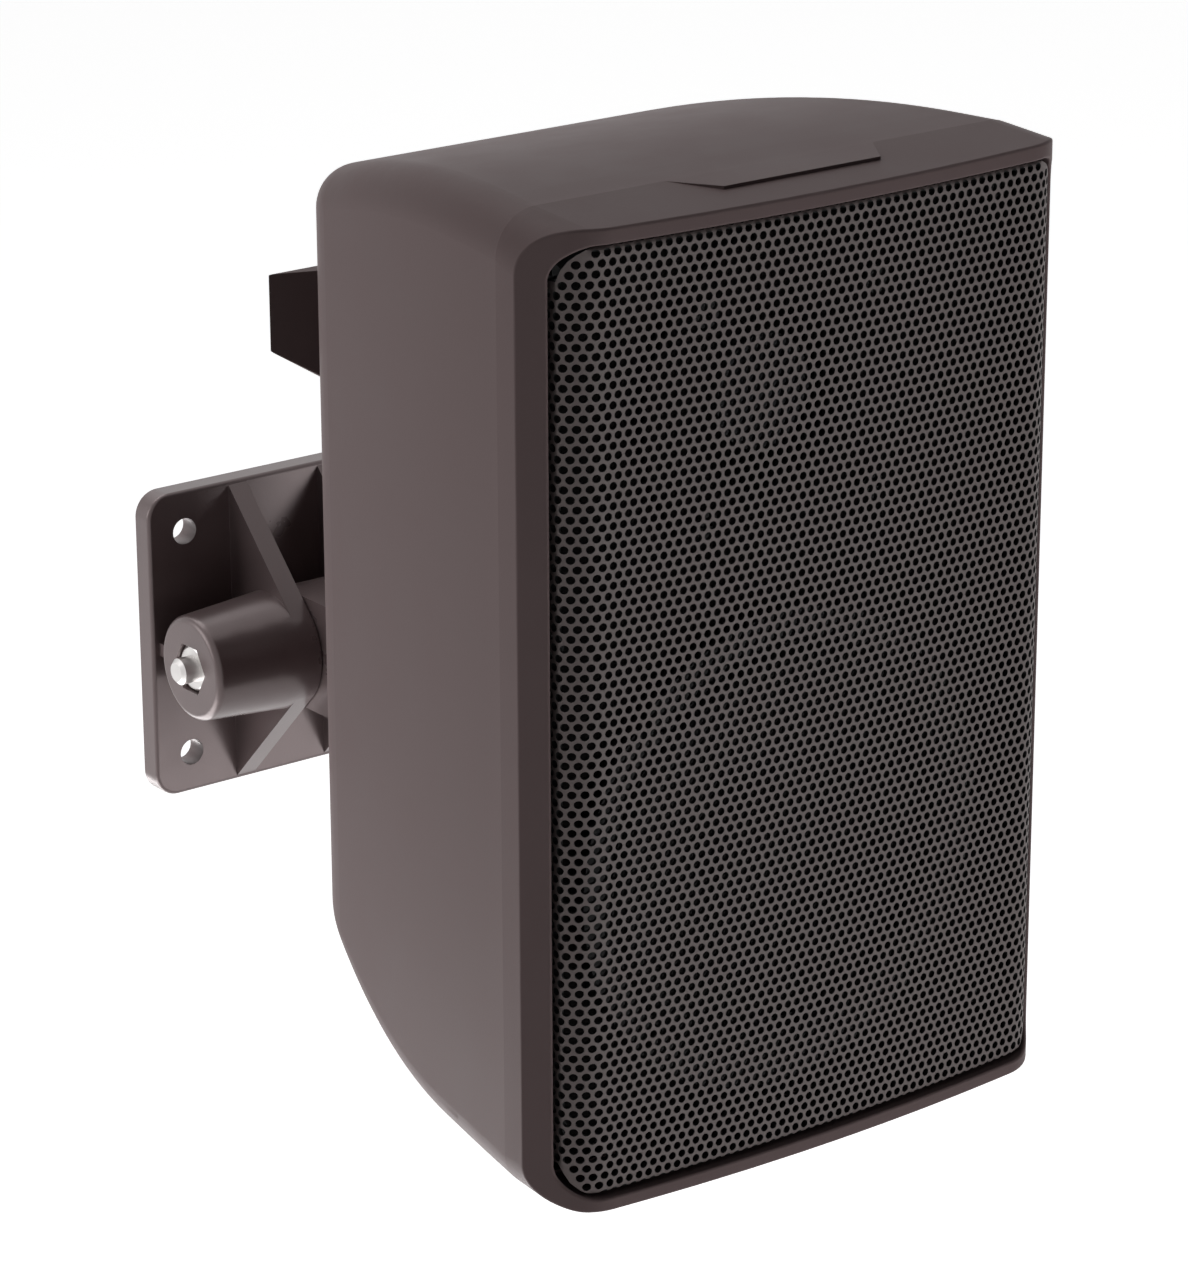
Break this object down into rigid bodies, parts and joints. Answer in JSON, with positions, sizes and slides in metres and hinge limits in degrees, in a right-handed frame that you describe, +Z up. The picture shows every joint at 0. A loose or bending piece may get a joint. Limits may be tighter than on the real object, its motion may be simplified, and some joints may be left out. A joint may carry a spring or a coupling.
{
  "type": "wall-mounted loudspeaker",
  "caption": "Compact two-way loudspeaker with a tapered moulded cabinet and perforated bowed grille, carried on a square wall bracket with a clamped tilt pivot.",
  "frame": {"origin": "centre of the wall plate's back face, on the wall plane", "axes": "+Y into the wall, +Z up, the loudspeaker looks along -Y"},
  "size_m": [0.1752, 0.2645, 0.2647],
  "materials": {
    "cabinet_plastic": "fine satin moulded texture",
    "bracket_plastic": "satin moulded",
    "grille_paint": "matt powder coat",
    "zinc_steel": "bright zinc",
    "black_steel": "black",
    "soft_rubber": "matt",
    "ferrite": "dull sintered",
    "cone_paper": "pressed paper",
    "copper": "enamelled wire",
    "spider_cloth": "varnished cloth",
    "dome_silk": "coated silk",
    "circuit_board": "solder mask",
    "part_plastic": "moulded",
    "wadding": "fibre"
  },
  "bodies": {
    "bracket": {"wall_bracket": "bracket_plastic", "pivot_bolt": "zinc_steel", "pivot_nut": "zinc_steel"},
    "speaker": {"tilt_arm": "bracket_plastic", "arm_screws": "zinc_steel", "cabinet_shell": "cabinet_plastic", "front_baffle": "cabinet_plastic", "baffle_screws": "black_steel", "grille": "grille_paint", "woofer_basket": "black_steel", "woofer_gasket": "soft_rubber", "woofer_top_plate": "zinc_steel", "woofer_magnet": "ferrite", "woofer_yoke": "zinc_steel", "woofer_surround": "soft_rubber", "woofer_spider": "spider_cloth", "woofer_screws": "black_steel", "tweeter_face": "cabinet_plastic", "tweeter_surround": "dome_silk", "tweeter_magnet": "ferrite", "tweeter_screws": "black_steel", "crossover_board": "circuit_board", "crossover_screws": "zinc_steel", "crossover_choke": "copper", "crossover_capacitor": "part_plastic", "crossover_resistor": "part_plastic", "damping_wadding": "wadding", "terminal_cover": "cabinet_plastic", "cover_screws": "zinc_steel", "terminal_block": "part_plastic"},
    "cone": {"woofer_cone": "cone_paper", "woofer_dust_cap": "cone_paper", "woofer_voice_coil": "copper"},
    "dome": {"tweeter_dome": "dome_silk", "tweeter_voice_coil": "copper"}
  },
  "joints": [
    {"name": "tilt", "type": "hinge", "parent": "bracket", "child": "speaker", "pos_m": [0, -0.0275, 0], "axis": [1, 0, 0], "range_deg": [-15, 35]},
    {"name": "woofer_stroke", "type": "slide", "parent": "speaker", "child": "cone", "axis": [0, 1, 0], "range_m": [-0.003, 0.003], "stiffness_N_per_m": 1500, "deforming": ["woofer_surround", "woofer_spider"]},
    {"name": "tweeter_stroke", "type": "slide", "parent": "speaker", "child": "dome", "axis": [0, 1, 0], "range_m": [-0.0003, 0.0003], "stiffness_N_per_m": 5000, "deforming": ["tweeter_surround"]}
  ]
}
